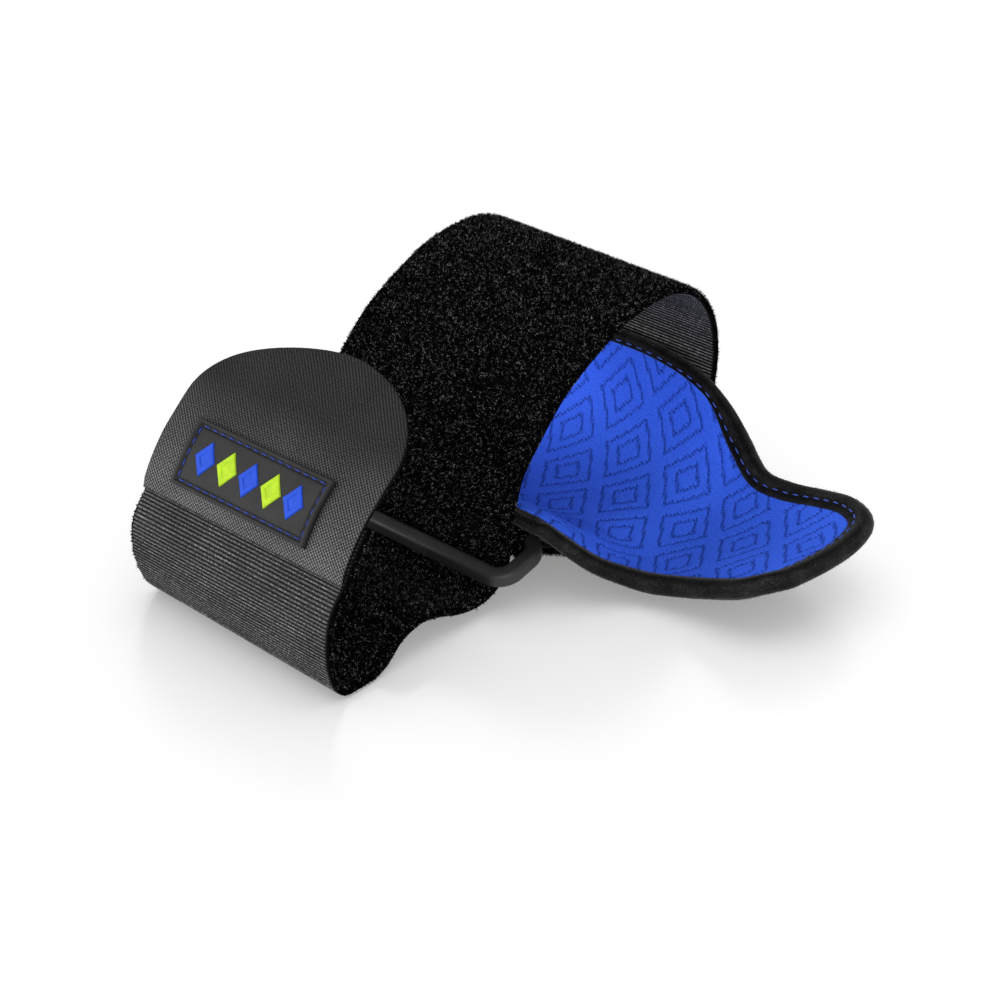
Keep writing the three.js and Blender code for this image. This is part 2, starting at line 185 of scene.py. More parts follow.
class Route:
    """A side-view curve of y and z, measured along its length. Out is to the left of its travel."""

    def __init__(self, rows, lowest=-math.inf):
        line = smooth_line(rows, 24)
        line[:, 1] = np.maximum(line[:, 1], lowest)
        self.line = line
        self.along = np.concatenate([[0], np.cumsum(np.linalg.norm(np.diff(line, axis=0), axis=1))])
        self.length = self.along[-1]
        self.ahead = unit(np.gradient(line, axis=0))

    def _read(self, along, columns):
        return [np.interp(along, self.along, column) for column in columns.T]

    def directions(self, along):
        """The unit directions ahead and out, as points with no x."""
        y, z = self._read(along, self.ahead)
        size = np.hypot(y, z)
        y, z = y / size, z / size
        return np.stack([0 * y, y, z], -1), np.stack([0 * y, -z, y], -1)

    def point(self, across, along, out):
        """The point at x across, a distance along the curve, and out from it."""
        across, along, out = np.broadcast_arrays(across, along, out)
        y, z = self._read(along, self.line)
        _, left = self.directions(along)
        return np.stack([across, y, z], -1) + left * out[..., None]

    def near(self, place):
        """How far along the curve the given y and z are."""
        return self.along[np.argmin(np.linalg.norm(self.line - np.array(place), axis=1))]


def rear_bar_turn():
    """The strap's turn round the ring's rear bar, from its sewn end over the bar and down its front."""
    radius = RING.bar / 2 + 2 * GAP + STRAP.thick / 2
    turn = np.radians(REAR_TURN.start + REAR_TURN.step * np.arange(REAR_TURN.steps + 1))
    y, z = RING.rear
    return [REAR_TURN.sewn, *zip(y + radius * np.cos(turn), z + radius * np.sin(turn))]


strap_line = Route(rear_bar_turn() + STRAP_ROUTE, lowest=STRAP.thick / 2)
tab_line = Route(TAB_ROUTE)
liner_line = Route(LINER_ROUTE)

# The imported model's origin is the middle of the footprint, so the strap's box gives the move to its frame
strap_low, strap_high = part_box("strap")
strap_back = strap_line.point(0, strap_line.along, -STRAP.thick / 2)[:, 1].max()
SHIFT = np.array([(strap_low.x + strap_high.x) / 2 / MM, strap_high.y / MM - strap_back, 0])


# Meshes

def grid_faces(rows, columns, start=0):
    i, j = np.mgrid[0:rows - 1, 0:columns - 1]
    corner = start + i * columns + j
    return np.stack([corner, corner + 1, corner + columns + 1, corner + columns], -1).reshape(-1, 4)


def grid_border(rows, columns):
    """The indices round a grid, as one loop."""
    at = np.arange(rows * columns).reshape(rows, columns)
    return np.concatenate([at[0, :-1], at[:-1, -1], at[-1, :0:-1], at[:0:-1, 0]])


def closed_sheet(rows, columns, row_step=1, column_step=1):
    """An upper grid over a lower one of some of its places: those places, and the faces of each."""
    sizes = ((rows, row_step), (columns, column_step))
    coarse = np.ix_(*(np.append(np.arange(0, size - 1, step), size - 1) for size, step in sizes))
    count = rows * columns
    upper = [tuple(face) for face in grid_faces(rows, columns)]
    under = [tuple(face[::-1]) for face in grid_faces(coarse[0].size, coarse[1].size, count)]
    kept = np.arange(count).reshape(rows, columns)[coarse].ravel().tolist()
    below = {corner: count + k for k, corner in enumerate(kept)}
    border = grid_border(rows, columns).tolist()
    marks = [k for k, corner in enumerate(border) if corner in below]
    for k, after in zip(marks, marks[1:] + [marks[0] + len(border)]):
        run = [border[m % len(border)] for m in range(k, after + 1)]
        under.append((*run[::-1], below[run[0]], below[run[-1]]))
    return coarse, upper, under


def joined(upper, lower, width):
    return np.concatenate([upper.reshape(-1, width), lower.reshape(-1, width)])


def loop_faces(stations, sides):
    """Faces of a closed bar: rings of sides, one ring at each station of a loop."""
    i, k = np.mgrid[0:stations, 0:sides]
    following, beside = (i + 1) % stations, (k + 1) % sides
    corners = [i * sides + k, following * sides + k, following * sides + beside, i * sides + beside]
    return np.stack(corners, -1).reshape(-1, 4)


def add_piece(name, points, faces, materials, attributes=None, material_index=None, smooth=True):
    """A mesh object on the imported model's body, with its points moved to the model's frame."""
    mesh = bpy.data.meshes.new(name)
    mesh.from_pydata((np.asarray(points).reshape(-1, 3) + SHIFT) * MM, [], [tuple(face) for face in faces])
    for material in materials:
        mesh.materials.append(material)
    if material_index is not None:
        mesh.polygons.foreach_set("material_index", np.asarray(material_index, np.int32))
    mesh.polygons.foreach_set("use_smooth", np.full(len(mesh.polygons), smooth))
    for key, values in (attributes or {}).items():
        values = np.asarray(values, np.float32)
        if values.shape[-1] == 2 and values.ndim > 1:
            values = np.concatenate([values, np.zeros((*values.shape[:-1], 1), np.float32)], -1)
        vector = values.size == 3 * len(mesh.vertices)
        layer = mesh.attributes.new(key, "FLOAT_VECTOR" if vector else "FLOAT", "POINT")
        layer.data.foreach_set("vector" if vector else "value", values.ravel())
    mesh.validate()
    mesh.update()
    face_outward(mesh)
    piece = bpy.data.objects.new(name, mesh)
    bpy.context.scene.collection.objects.link(piece)
    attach(piece, "root")
    return piece


def face_outward(mesh):
    """Turns all faces round if the mesh's volume is negative."""
    mesh.calc_loop_triangles()
    corners = np.empty(len(mesh.loop_triangles) * 3, np.int32)
    mesh.loop_triangles.foreach_get("vertices", corners)
    points = np.empty(len(mesh.vertices) * 3, np.float32)
    mesh.vertices.foreach_get("co", points)
    a, b, c = points.reshape(-1, 3).astype(float)[corners].reshape(-1, 3, 3).transpose(1, 0, 2)
    if (a * np.cross(b, c)).sum() < 0:
        mesh.flip_normals()


def spikes(name, roots, axes, lean, length, radius, shade, rng, material):
    """Short fibres, each a three-sided spike with a shade of its own. Axes are out and two across it."""
    count = len(roots)
    out, first, second = axes
    tips = roots + unit(out + lean[:, :1] * first + lean[:, 1:] * second) * length[:, None]
    start = rng.uniform(0, TURN, count)
    corners = []
    for k in range(3):
        turn = (start + TURN * k / 3)[:, None]
        corners.append(roots + radius * (np.cos(turn) * first + np.sin(turn) * second))
    points = np.stack([*corners, tips], 1)
    points[..., 2] = np.maximum(points[..., 2], ABOVE_FLOOR)
    base = 4 * np.arange(count)[:, None]
    faces = np.concatenate([base + np.array(face) for face in ((0, 1, 3), (1, 2, 3), (2, 0, 3))])
    return add_piece(name, points, faces, [material], {"shade": np.repeat(shade, 4)}, smooth=False)


def copies(name, rod, origins, along, up, material):
    """A piece of copies of a rod, whose points are along, side and up distances, one at each origin."""
    template, faces = rod
    axes = np.stack([along, np.cross(up, along), up], 1)
    points = origins[:, None] + np.einsum("pk,nkx->npx", template, axes)
    starts = range(0, len(template) * len(origins), len(template))
    moved = [tuple(corner + start for corner in face) for start in starts for face in faces]
    return add_piece(name, points, moved, [material])


def rod_faces(rings, sides, start=0):
    """Faces of a rod, from ring to ring of its sides, and its two ends."""
    faces = [tuple(range(sides))[::-1], tuple(range((rings - 1) * sides, rings * sides))]
    for i in range(rings - 1):
        for k in range(sides):
            a, b = i * sides + k, i * sides + (k + 1) % sides
            faces.append((a, b, b + sides, a + sides))
    return [tuple(start + corner for corner in face) for face in faces]


def bent_rod(centre, radius, sides):
    """A rod along centre points of along and up, with a radius at each, and its ends closed."""
    ahead = unit(np.gradient(centre, axis=0))
    turn = TURN * np.arange(sides) / sides
    out, side = np.outer(radius, np.cos(turn)), np.outer(radius, np.sin(turn))
    along, up = centre[:, :1] - out * ahead[:, 1:], centre[:, 1:] + out * ahead[:, :1]
    return np.stack([along, side, up], -1).reshape(-1, 3), rod_faces(len(centre), sides)


# Materials

def tinted(value, tint=(1.0, 1.0, 1.0)):
    """A colour: a plain grey, or a tint made darker."""
    return tuple(value * part for part in tint)


class Finish:
    """A material while its nodes are made. Values are numbers, colours or sockets of other nodes."""

    def __init__(self, name, colour, roughness, shine=0.5, **sockets):
        self.material = bpy.data.materials.new(name)
        self.material.use_nodes = True
        self.tree = self.material.node_tree
        self.shader = self.tree.nodes["Principled BSDF"]
        self.material.diffuse_color = (*colour, 1)
        self.feed(self.shader.inputs["Base Color"], (*colour, 1))
        self.feed(self.shader.inputs["Roughness"], roughness)
        self.feed(self.shader.inputs["Specular IOR Level"], shine)
        for key, value in sockets.items():
            self.feed(self.shader.inputs[key.replace("_", " ")], value)

    def feed(self, socket, value):
        if isinstance(value, bpy.types.NodeSocket):
            self.tree.links.new(value, socket)
        else:
            socket.default_value = value

    def node(self, kind, values=(), **settings):
        node = self.tree.nodes.new("ShaderNode" + kind)
        for key, value in settings.items():
            setattr(node, key, value)
        for key, value in dict(values).items():
            self.feed(node.inputs[key], value)
        return node

    def math(self, operation, a, b=0.0, clamp=False):
        return self.node("Math", {0: a, 1: b}, operation=operation, use_clamp=clamp).outputs[0]

    def times(self, a, b):
        return self.math("MULTIPLY", a, b)

    def plus(self, a, b):
        return self.math("ADD", a, b)

    def minus(self, a, b):
        return self.math("SUBTRACT", a, b)

    def attribute(self, name, output="Fac"):
        return self.node("Attribute", attribute_name=name).outputs[output]

    def flat_axes(self):
        """The flat coordinates across and along the piece, in millimetres."""
        parts = self.node("SeparateXYZ", {0: self.attribute("flat", "Vector")})
        return parts.outputs["X"], parts.outputs["Y"]

    def wave(self, value):
        """A cosine from 0 to 1, with one crest for each whole number."""
        return self.range(self.math("COSINE", self.math("MULTIPLY", value, TURN)), -1, 1, 0, 1)

    def noise(self, vector, detail, rough):
        values = {"Vector": vector, "Scale": 1.0, "Detail": detail, "Roughness": rough}
        return self.node("TexNoise", values).outputs["Fac"]

    def cloth(self, across, along, detail=2.0, rough=0.5):
        """Noise on the piece's own flat coordinates, with a scale for each, per millimetre."""
        values = {0: self.attribute("flat", "Vector"), 1: (across, along, 1.0)}
        return self.noise(self.node("VectorMath", values, operation="MULTIPLY").outputs[0], detail, rough)

    def grain(self, scale, detail=2.0, rough=0.5):
        """Noise by the place on the object, with a scale per millimetre."""
        values = {0: self.node("TexCoord").outputs["Object"], "Scale": scale / MM}
        return self.noise(self.node("VectorMath", values, operation="SCALE").outputs[0], detail, rough)

    def ramp(self, value, *stops):
        """A colour ramp through stops of place and colour, or place and plain grey."""
        node = self.node("ValToRGB", {"Fac": value})
        elements = node.color_ramp.elements
        while len(elements) < len(stops):
            elements.new(1.0)
        for element, (place, colour) in zip(elements, stops):
            element.position = place
            element.color = (*(colour if isinstance(colour, tuple) else tinted(colour)), 1)
        return node.outputs["Color"]

    def mix(self, share, first, second):
        return self.node("MixRGB", {"Fac": share, "Color1": first, "Color2": second}).outputs["Color"]

    def range(self, value, low, high, to_low, to_high):
        values = {"Value": value, "From Min": low, "From Max": high, "To Min": to_low, "To Max": to_high}
        return self.node("MapRange", values).outputs["Result"]

    def spread(self, noise, low, high):
        """A noise, whose values are mostly from 0.3 to 0.7, turned to a range."""
        return self.range(noise, 0.3, 0.7, low, high)

    def bump(self, height, distance, strength=1.0):
        bump = self.node("Bump", {"Height": height, "Distance": distance * MM, "Strength": strength})
        before = self.shader.inputs["Normal"]
        if before.is_linked:
            self.feed(bump.inputs["Normal"], before.links[0].from_socket)
        self.feed(before, bump.outputs["Normal"])

    def colour(self, value):
        self.feed(self.shader.inputs["Base Color"], value)

    def clouds(self, scale, detail, low, high):
        """Soft clouds of two colours, and where they are."""
        cloud = self.grain(scale, detail)
        self.colour(self.ramp(cloud, (0.3, low), (0.7, high)))
        return cloud

    def rough(self, value):
        self.feed(self.shader.inputs["Roughness"], value)


def fibre_finish():
    """Black nylon fibres, some of them grey."""
    finish = Finish("pile_fibre", tinted(0.006), 0.9, shine=0.01)
    shade = finish.attribute("shade")
    finish.colour(finish.ramp(shade, (0.0, 0.0006), (0.5, 0.002), (0.64, 0.016), (0.8, 0.075), (1.0, 0.2)))
    return finish.material


def pile_base_finish():
    """The dark ground that the pile grows from."""
    finish = Finish("pile_base", tinted(0.002), 0.9, shine=0.0)
    speck = finish.grain(1.6, 3.0, 0.7)
    finish.colour(finish.ramp(speck, (0.4, 0.0006), (0.75, 0.004)))
    finish.bump(speck, 0.3)
    return finish.material


def elastic_finish():
    """Ribbed elastic: grey yarns that cross the ribs in rows set half a step apart, with painted shade in
    the grooves and painted light inside the loop.
    """
    finish = Finish("ribbed_elastic", tinted(0.03), 0.8, shine=0.04)
    across, along = finish.flat_axes()
    row = finish.math("FLOOR", finish.times(along, 1 / STRAP.rib_pitch))
    yarns = finish.times(across, 1 / STRAP.yarn)
    knot = finish.wave(finish.plus(yarns, finish.times(row, 0.5)))
    yarn = finish.cloth(1.7, 2.2, 2.0, 0.6)
    slow = finish.cloth(0.08, 0.08)
    # Painted shade: the ribs' height darkens the grooves and the band's edges
    lit = finish.times(finish.attribute("rib_shade"), finish.spread(yarn, 0.62, 1.1))
    lit = finish.times(lit, finish.range(knot, 0.0, 1.0, 0.9, 1.03))
    lit = finish.times(lit, finish.spread(slow, 0.95, 1.05))
    tint = finish.ramp(lit, (0.0, 0.001), (0.4, 0.008), (0.72, 0.075), (1.0, 0.3))
    # The tone scales the colour up inside the loop: painted light on the inner face there
    light = finish.node("VectorMath", {0: tint, "Scale": finish.attribute("tone")}, operation="SCALE")
    finish.colour(light.outputs[0])
    finish.bump(knot, 0.05, 0.5)
    return finish.material


def tab_finish():
    """Fine dark grey weave, with painted highlight on the yarn crowns, painted shade towards the round end,
    and black at its edge.
    """
    finish = Finish("tab_weave", tinted(0.05), 0.8, shine=0.05)
    thread = finish.cloth(3.0, 1.6, 2.0, 0.6)
    slow = finish.cloth(0.06, 0.06)
    # Painted highlight: the yarn crowns are painted lighter than the hollows between them
    lit = finish.plus(finish.attribute("crown"), finish.range(thread, 0.25, 0.75, -0.2, 0.2))
    lit = finish.plus(lit, finish.spread(slow, -0.04, 0.04))
    _, along = finish.flat_axes()
    # Painted shade: the colour goes from the low ramp to the darker high ramp towards the round end, which
    # faces up
    low = finish.ramp(lit, (0.2, 0.005), (0.5, 0.05), (0.85, 0.22))
    high = finish.ramp(lit, (0.2, 0.006), (0.5, 0.02), (0.85, 0.052))
    end_shaded = finish.mix(finish.range(along, 4, 34, 0.0, 1.0), low, high)
    finish.colour(finish.mix(finish.attribute("edge"), end_shaded, (*tinted(0.0015), 1)))
    finish.bump(thread, 0.05, 0.6)
    return finish.material


def hook_finish():
    """Moulded nylon hook tape."""
    finish = Finish("hook_nylon", tinted(0.012), 0.35)
    cloud = finish.grain(0.5)
    finish.rough(finish.spread(cloud, 0.28, 0.45))
    return finish.material


def rubber_finish():
    """Soft moulded rubber with a faint grain."""
    finish = Finish("label_rubber", tinted(0.02), 0.62, shine=0.14)
    grain = finish.grain(5.0)
    finish.clouds(0.15, 3.0, 0.018, 0.025)
    finish.rough(finish.spread(grain, 0.52, 0.68))
    finish.bump(grain, 0.02)
    return finish.material


def motif_finish(name, colour):
    finish = Finish(name, colour, 0.55, shine=0.12)
    finish.clouds(0.6, 2.0, tinted(0.82, colour), colour)
    return finish.material


def plastic_finish():
    """Black moulded plastic with a fine spark texture."""
    finish = Finish("ring_plastic", tinted(0.018), 0.5, shine=0.4)
    spark = finish.grain(4.5)
    cloud = finish.clouds(0.12, 3.0, 0.013, tinted(0.02, (0.96, 1.0, 1.0)))
    finish.rough(finish.spread(cloud, 0.42, 0.55))
    finish.bump(spark, 0.025)
    return finish.material


def stitched_lines(finish):
    """From 0 to 1, the dark stitches along the nested lozenges, each stitch a slanted cell of the knit."""
    across, along = finish.flat_axes()
    slanted = finish.plus(across, finish.times(along, KNIT.slant))
    cell_x = finish.plus(finish.math("FLOOR", finish.math("DIVIDE", slanted, KNIT.stitch_x)), 0.5)
    cell_u = finish.plus(finish.math("FLOOR", finish.math("DIVIDE", along, KNIT.stitch_u)), 0.5)
    middle_u = finish.times(cell_u, KNIT.stitch_u)
    middle_x = finish.minus(finish.times(cell_x, KNIT.stitch_x),
                           finish.times(middle_u, KNIT.slant))
    x = finish.math("DIVIDE", middle_x, 2 * KNIT.half_x)
    u = finish.math("DIVIDE", finish.minus(middle_u, KNIT.middle_u), 2 * KNIT.half_u)
    away = []
    for diagonal in (finish.plus(x, u), finish.minus(x, u)):
        nearest = finish.math("ROUND", diagonal)
        away.append(finish.math("ABSOLUTE", finish.minus(diagonal, nearest)))
    ring = finish.math("MAXIMUM", *away)
    near = [finish.math("ABSOLUTE", finish.minus(ring, size)) for size in (KNIT.outer, KNIT.inner)]
    near = finish.times(finish.math("MINIMUM", *near), KNIT_SPAN)
    return finish.range(near, 0.75 * KNIT.line, 1.25 * KNIT.line, 1.0, 0.0)


def knit_finish():
    """Blue knit: small stitches with sparse dark holes, darker stitches along the sunk lines."""
    finish = Finish("pad_knit", (0.03, 0.1, 0.75), 0.9, shine=0.08)
    stitch = finish.cloth(1.9, 1.5, 2.0, 0.6)
    slow = finish.cloth(0.05, 0.05)
    strokes = finish.range(finish.cloth(1.3, 1.5, 1.0), 0.34, 0.6, 0.35, 1.0)
    dark = finish.math("MULTIPLY", stitched_lines(finish), strokes, clamp=True)
    holes = finish.range(stitch, 0.3, 0.38, 0.6, 0.0)
    ground = finish.ramp(
        stitch, (0.3, (0.036, 0.115, 0.78)), (0.55, (0.046, 0.145, 0.9)), (0.8, (0.062, 0.172, 0.98)))
    tone = finish.mix(finish.spread(slow, 0.0, 0.2), ground, (0.03, 0.1, 0.7, 1))
    pierced = finish.mix(holes, tone, (0.012, 0.036, 0.26, 1))
    finish.colour(finish.mix(dark, pierced, (0.015, 0.045, 0.33, 1)))
    finish.bump(stitch, 0.1, 0.6)
    return finish.material


def backing_finish():
    """The pad's dark outer face: a fine black knit."""
    finish = Finish("pad_backing", tinted(0.012), 0.85, shine=0.2)
    across, along = finish.flat_axes()
    loops = finish.times(finish.wave(finish.times(across, 0.9)), finish.wave(along))
    cloud = finish.cloth(1.4, 1.4)
    lit = finish.plus(finish.times(loops, 0.6), finish.times(cloud, 0.4))
    finish.colour(finish.ramp(lit, (0.15, 0.005), (0.8, 0.026)))
    finish.bump(loops, 0.15, 0.7)
    return finish.material


def binding_finish():
    """Black brushed knit tape, with painted highlight and shade in bands round the roll."""
    finish = Finish("binding_knit", tinted(0.008), 0.85, shine=0.05, Sheen_Weight=0.2)
    finish.feed(finish.shader.inputs["Sheen Roughness"], 0.35)
    nap = finish.grain(2.6, 3.0, 0.65)
    cloud = finish.grain(0.2)
    lit = finish.times(nap, finish.spread(cloud, 0.8, 1.2))
    ground = finish.ramp(lit, (0.3, 0.002), (0.5, 0.006), (0.75, 0.018))
    # Painted light: by the turn round the roll, the colour is lighter in bands for the highlights at its
    # upper and lower edges and darker between them for shade
    turn = finish.attribute("turn")
    band = finish.ramp(
        turn, (0.1, 1.6), (0.3, 2.2), (0.38, 0.5), (0.46, 2.0), (0.56, 0.6), (0.66, 3.4), (0.8, 1.0))
    finish.colour(finish.node("VectorMath", {0: ground, 1: band}, operation="MULTIPLY").outputs[0])
    finish.bump(nap, 0.16, 0.8)
    return finish.material


def thread_finish(name, dark, light):
    """Blue sewing thread with a fine twist."""
    finish = Finish(name, dark, 0.5, shine=0.25)
    finish.bump(finish.clouds(4.0, 1.0, dark, light), 0.05)
    return finish.material


def floor_finish():
    """White board, lit a little from below so that shadows on it stay pale, glossy near the brace only."""
    finish = Finish("floor_white", tinted(0.93), 0.12, IOR=2.3, Emission_Strength=FLOOR_GLOSS.glow)
    finish.feed(finish.shader.inputs["Emission Color"], (1, 1, 0.99, 1))
    place = finish.node("TexCoord").outputs["Object"]
    away = finish.node("VectorMath", {0: place}, operation="LENGTH").outputs["Value"]
    finish.rough(finish.range(away, *FLOOR_GLOSS.reach, *FLOOR_GLOSS.roughness))
    return finish.material


# Strap

# Scale of the elastic's colour, carried as its tone: inside the loop it is painted light that makes the
# inner face lighter, along the tail it is nearly plain
ELASTIC_PAINTED_LIGHT = Values(loop=1.42, tail=1.06)
FOLD = Values(place=(2.2, 0.9), reach=15.0, askew=2.4)
TAB_SWELL = Values(rise=0.45, reach=7.0, end=0.6)
BAND_WAVE = Values(depth=0.05, along=9, across=13, fade=21)

# One rib: place from -1 to 1 across it, and share of its height
RIB = [(-1.0, 0.0), (-0.7, 0.25), (-0.35, 0.85), (0.0, 1.0), (0.35, 0.85), (0.7, 0.25)]
RIB_HEIGHTS = (0.88, 1.0)
# Painted shade in the grooves follows the ribs' height: it goes to black over RIB_FADE at the band's edges,
# and the values below ease it nearer the tab, where the ribs face the light
RIB_FADE = 0.5
RIB_SHADE_EASE = Values(share=0.5, level=0.78, reach=(8, 38), until=45)

# From the band's edge inwards: depth, shares of the ribbed and the pile side's rise, and outward swell
EDGE = [
    (0.0, 0.62, 0.1, 0.75), (0.2, 0.9, 0.7, 0.55), (0.7, 1.0, 1.0, 0.15), (2.0, 1.0, 1.0, 0.0),
    (12.0, 1.0, 1.0, 0.0), (24.0, 1.0, 1.0, 0.0), (35.0, 1.0, 1.0, 0.0),
]


def strap_point(across, along, out):
    """A point of the band, whose far side lies a little further back at the fold."""
    points = strap_line.point(across, along, out)
    from_fold = (along - strap_line.near(FOLD.place)) / FOLD.reach
    points[..., 1] += FOLD.askew * (0.5 - points[..., 0] / STRAP.width) * np.exp(-(from_fold**2))
    return points


def strap_piece(elastic, base):
    """The band: ribs across it on its inner face, a plain ground for the pile on its outer face."""
    rng = np.random.default_rng(SEED.ribs)
    half, pitch = STRAP.half, STRAP.rib_pitch
    ribs = int(strap_line.length // pitch)
    pitch = strap_line.length / ribs
    place, rise = np.array(RIB).T
    along = (np.arange(ribs)[:, None] + (place + 1) / 2).ravel() * pitch
    height = (rng.uniform(*RIB_HEIGHTS, ribs)[:, None] * rise).ravel()
    along, height = np.append(along, strap_line.length), np.append(height, 0.0)
    depth, share, under_share, swollen = np.array(EDGE).T
    across = np.concatenate([depth - half, (half - depth)[-2::-1]])
    share, under_share = (np.concatenate([part, part[-2::-1]]) for part in (share, under_share))
    swollen = across + np.concatenate([-swollen, swollen[-2::-1]])
    wave = np.sin(along[:, None] / BAND_WAVE.along + across / BAND_WAVE.across)
    wave = BAND_WAVE.depth * wave * np.cos(across / BAND_WAVE.fade)
    before_tab = strap_line.near(TAB_ROUTE[0]) - along
    swell = TAB_SWELL.rise * np.exp(-((before_tab / TAB_SWELL.reach) ** 2))
    swell = swell * smooth_step(before_tab, -TAB_SWELL.end, TAB_SWELL.end)
    ribbed = STRAP.thick / 2 - STRAP.rib_depth * (1 - height[:, None]) + wave + swell[:, None]
    core = STRAP.core
    upper = strap_point(across, along[:, None], core + (ribbed - core) * share)
    lower = strap_point(swollen, along[:, None], core + (STRAP.pile_base - core) * under_share + 0 * wave)
    points = np.stack([upper, lower])
    points[..., 2] = np.maximum(points[..., 2], BAND_ABOVE_FLOOR)
    flat = np.stack(np.broadcast_arrays(across, along[:, None]), -1)
    _, faces, under = closed_sheet(len(along), len(across))
    index = np.repeat([0, 1], [len(faces), len(under)])
    # Painted shade: nearer the tab the grooves are painted less dark, as the ribs there face the light
    face_on = (1 - smooth_step(before_tab, *RIB_SHADE_EASE.reach)) * (before_tab < RIB_SHADE_EASE.until)
    level = height + (RIB_SHADE_EASE.level - height) * RIB_SHADE_EASE.share * face_on
    rib_shade = level[:, None] * np.clip((half - np.abs(across)) / RIB_FADE, 0, 1)
    # Painted light: inside the loop the elastic's colour is scaled up so that its inner face reads lighter
    in_loop = along < strap_line.near(THROUGH_RING)
    tone = np.where(in_loop, ELASTIC_PAINTED_LIGHT.loop, ELASTIC_PAINTED_LIGHT.tail)[:, None] + 0 * across
    sides = {"flat": (flat, flat), "rib_shade": (rib_shade, 0 * rib_shade), "tone": (tone, tone)}
    attributes = {key: np.stack(pair) for key, pair in sides.items()}
    faces = faces + under
    piece = add_piece("strap_band", points, faces, [elastic, base], attributes, index)
    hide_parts("strap")
    return piece


PILE = Values(
    tuft=0.84, per_tuft=5, back_per_tuft=3, spread=0.3, lean=0.5, own_lean=0.6, own_shade=0.65, length=1.0,
    vary=0.28, lengths=(0.4, 1.7), radius=0.14, root=0.1, wrap=1.5, turn=(-0.9, 0.7), bulge=0.5,
    bulge_until=1.6, edge_short=0.35, pale_shade=0.6, pale_fade=0.2, pale_raise=0.3, pale_short=0.5,
    clear=0.55, sewn=2.0,
)


def pile_piece(name, start, end, per_tuft, seed, fibre):
    """Brushed pile in small tufts between two places along the strap, outside it and round its edges."""
    rng = np.random.default_rng(seed)
    half, pitch, wrap = STRAP.half, PILE.tuft, PILE.wrap
    grid = np.meshgrid(np.arange(-half - wrap, half + wrap, pitch), np.arange(start, end, pitch))
    tufts = np.stack([part.ravel() for part in grid], 1)
    tufts = tufts + rng.uniform(-0.5, 0.5, tufts.shape) * pitch
    lean = rng.normal(0, PILE.lean, tufts.shape)
    shade = rng.uniform(0, 1, len(tufts))
    tufts, lean, shade = (np.repeat(part, per_tuft, axis=0) for part in (tufts, lean, shade))
    place = tufts + rng.normal(0, PILE.spread, tufts.shape)
    lean = lean + rng.normal(0, PILE.own_lean, lean.shape)
    shade = np.clip((1 - PILE.own_shade) * shade + PILE.own_shade * rng.uniform(0, 1, len(shade)), 0, 1)
    side, away = np.sign(place[:, 0]), np.abs(place[:, 0]) - half
    over = np.clip(away, 0, wrap)
    turned = smooth_step(away, *PILE.turn)[:, None]
    edge = half + PILE.bulge * turned[:, 0] * np.clip(PILE.bulge_until - over, 0, 1)
    roots = strap_point(np.clip(place[:, 0], -edge, edge), place[:, 1], STRAP.pile_base + PILE.root + over)
    ahead, left = strap_line.directions(place[:, 1])
    across = np.broadcast_to([1.0, 0.0, 0.0], ahead.shape)
    out = unit(side[:, None] * across * turned - left * (1 - turned))
    length = np.clip(rng.normal(PILE.length, PILE.vary, len(place)), *PILE.lengths)
    length = length * (1 - PILE.edge_short * turned[:, 0])
    pale = np.clip((shade - PILE.pale_shade) / PILE.pale_fade, 0, 1)
    roots = roots + out * (PILE.pale_raise * pale)[:, None]
    length = length * (1 - PILE.pale_short * pale)
    clear = roots[:, 2] > PILE.clear
    axes = tuple(part[clear] for part in (out, np.cross(ahead, out), ahead))
    roots, lean, length, shade = (part[clear] for part in (roots, lean, length, shade))
    return spikes(name, roots, axes, lean, length, PILE.radius, shade, rng, fibre)


def pile_pieces(fibre):
    ring, shoulder = strap_line.near(THROUGH_RING), strap_line.near(BACK_SHOULDER)
    return [
        pile_piece("pile_front", shoulder, ring, PILE.per_tuft, SEED.pile_front, fibre),
        pile_piece("pile_tail", ring, strap_line.length, PILE.per_tuft, SEED.pile_tail, fibre),
        pile_piece("pile_back", PILE.sewn, shoulder, PILE.back_per_tuft, SEED.pile_back, fibre),
    ]


# Ring

def ring_piece(plastic):
    """The ring the strap runs through: a bar with a flat-sided round section along a rounded rectangle."""
    half_x = STRAP.half + RING.side_room + RING.bar / 2
    front, rear = np.array([0, *RING.front]), np.array([0, *RING.rear])
    half_v = np.linalg.norm(rear - front) / 2
    back = (rear - front) / (2 * half_v)
    up = np.cross([1, 0, 0], back)
    turn = TURN * (np.arange(RING.sides)[:, None] + 0.5) / RING.sides
    size = RING.share * RING.bar / 2 * squared(turn, RING.square)
    rings = []
    for quarter, (side_x, side_v) in enumerate([(1, 1), (-1, 1), (-1, -1), (1, -1)]):
        corner = (front + rear) / 2 + side_v * (half_v - RING.corner) * back
        corner[0] = side_x * (half_x - RING.corner)
        for k in range(RING.corner_steps + 1):
            angle = math.pi / 2 * (quarter + k / RING.corner_steps)
            out = math.cos(angle) * np.array([1, 0, 0]) + math.sin(angle) * back
            rings.append(corner + RING.corner * out + size * (np.cos(turn) * out + np.sin(turn) * up))
    faces = loop_faces(4 * (RING.corner_steps + 1), RING.sides)
    piece = add_piece("ring_bar", rings, faces, [plastic])
    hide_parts("ring")
    return piece


# Tab and label

def tab_half_width(along):
    past = np.maximum(along - TAB.straight, 0) / TAB.round
    return STRAP.half * np.sqrt(np.maximum(1 - past**2, 0))


def tab_point(across, along, out):
    """A point of the tab, whose right half reaches a little further."""
    points = tab_line.point(across, along, out)
    ahead, _ = tab_line.directions(along)
    share = smooth_step(points[..., 0], *TAB.far_x) * (along / (TAB.straight + TAB.round)) ** 3
    return points + TAB.far_reach * share[..., None] * ahead


